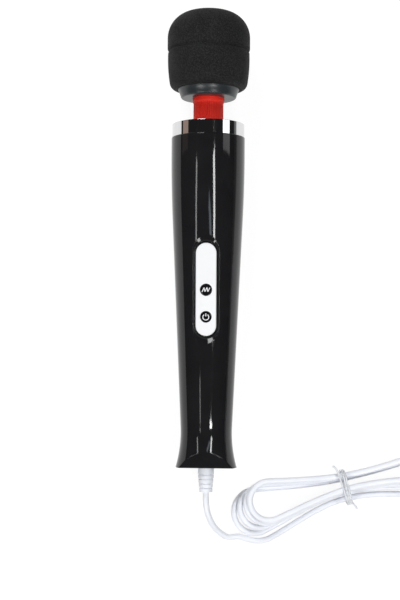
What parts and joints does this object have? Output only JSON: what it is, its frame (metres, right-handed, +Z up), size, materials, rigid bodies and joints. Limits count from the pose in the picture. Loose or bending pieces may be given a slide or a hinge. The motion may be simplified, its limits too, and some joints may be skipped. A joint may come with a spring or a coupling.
{
  "type": "wand massager",
  "caption": "Corded handheld wand massager: tapered gloss handle with a keypad, chrome ring, flexible fluted neck and a soft round vibrating head, with its cord tied in a hank",
  "frame": {"origin": "on the table under the middle of the wand, cord left out", "axes": "+X to the right across the wand, +Y along the wand from the foot to the head, +Z up, keypad up"},
  "size_m": [0.2365, 0.372, 0.0583],
  "materials": {
    "black_gloss": "gloss black ABS moulding",
    "steel": "plain bright steel",
    "chrome": "bright chrome-plated plastic",
    "white_panel": "smooth white panel, plain",
    "button_black": "satin black key caps with pale icons",
    "board_green": "glass-fibre board",
    "component_brown": "moulded electronic parts",
    "motor_steel": "drawn steel can",
    "dark_plastic": "moulded dark plastic",
    "magnet": "ferrite magnet segments",
    "bronze": "sintered bronze",
    "black_rubber": "soft black rubber",
    "copper": "laminations, enamelled wire and copper bars",
    "red_rubber": "red rubber with fine lengthwise flutes",
    "collar_grey": "dark grey plastic, half gloss",
    "black_foam": "matte black soft cushion with a fine grain",
    "weight_steel": "sintered steel weight",
    "wire_red": "insulated wire",
    "white_cord": "smooth white flexible cord sheath",
    "tie_clear": "pale twist tie",
    "pin_metal": "nickel-plated round pins"
  },
  "bodies": {
    "handle": {"front_shell": "black_gloss", "rear_shell": "black_gloss", "shell_screws": "steel", "trim_ring": "chrome", "keypad_panel": "white_panel", "control_board": "board_green", "board_screws": "steel", "tact_switches": "dark_plastic", "board_components": "component_brown", "motor_can": "motor_steel", "motor_end_cap": "dark_plastic", "motor_magnets": "magnet", "motor_bushes": "bronze", "front_motor_mount": "black_rubber", "rear_motor_mount": "black_rubber", "motor_leads": "wire_red", "supply_leads": "white_cord", "cord_clamp": "dark_plastic", "clamp_screws": "steel", "strain_relief": "white_cord", "cord_lead": "white_cord", "cord_hank": "white_cord", "cord_tail": "white_cord", "cord_tie": "tie_clear", "plug_body": "white_cord", "plug_pins": "pin_metal"},
    "rotor": {"motor_shaft": "steel", "armature": "copper", "commutator": "copper", "flex_coupling": "black_rubber"},
    "neck": {"neck_sleeve": "red_rubber"},
    "head": {"head_collar": "collar_grey", "bearing_plate": "dark_plastic", "head_core": "dark_plastic", "lower_bearing": "steel", "upper_bearing": "steel", "head_screws": "steel", "head_cushion": "black_foam"},
    "eccentric": {"drive_shaft": "steel", "eccentric_weight": "weight_steel"},
    "mode_key": {"mode_button": "button_black"},
    "power_key": {"power_button": "button_black"}
  },
  "joints": [
    {"name": "motor_spin", "type": "hinge", "parent": "handle", "child": "rotor", "pos_m": [0, 0.03057, 0.02528], "axis": [0, 0.9993, 0.0365], "continuous": true},
    {"name": "neck_nod", "type": "hinge", "parent": "handle", "child": "neck", "pos_m": [0, 0.08503, 0.02727], "axis": [1, 0, 0], "range_deg": [-12, 12], "stiffness_Nm_per_rad": 6, "deforming": ["neck_sleeve", "flex_coupling"]},
    {"name": "neck_sway", "type": "hinge", "parent": "neck", "child": "head", "pos_m": [0, 0.09153, 0.02751], "axis": [0, 0.0365, -0.9993], "range_deg": [-12, 12], "stiffness_Nm_per_rad": 6, "deforming": ["neck_sleeve", "flex_coupling"]},
    {"name": "eccentric_spin", "type": "hinge", "parent": "head", "child": "eccentric", "pos_m": [0, 0.12451, 0.02872], "axis": [0, 0.9993, 0.0365], "continuous": true},
    {"name": "mode_press", "type": "slide", "parent": "handle", "child": "mode_key", "axis": [0, 0.0828, -0.9966], "range_m": [0, 0.0006], "stiffness_N_per_m": 800},
    {"name": "power_press", "type": "slide", "parent": "handle", "child": "power_key", "axis": [0, 0.0828, -0.9966], "range_m": [0, 0.0006], "stiffness_N_per_m": 800}
  ],
  "couplings": [
    {"joint": "eccentric_spin", "follows": "motor_spin", "ratio": 1}
  ]
}
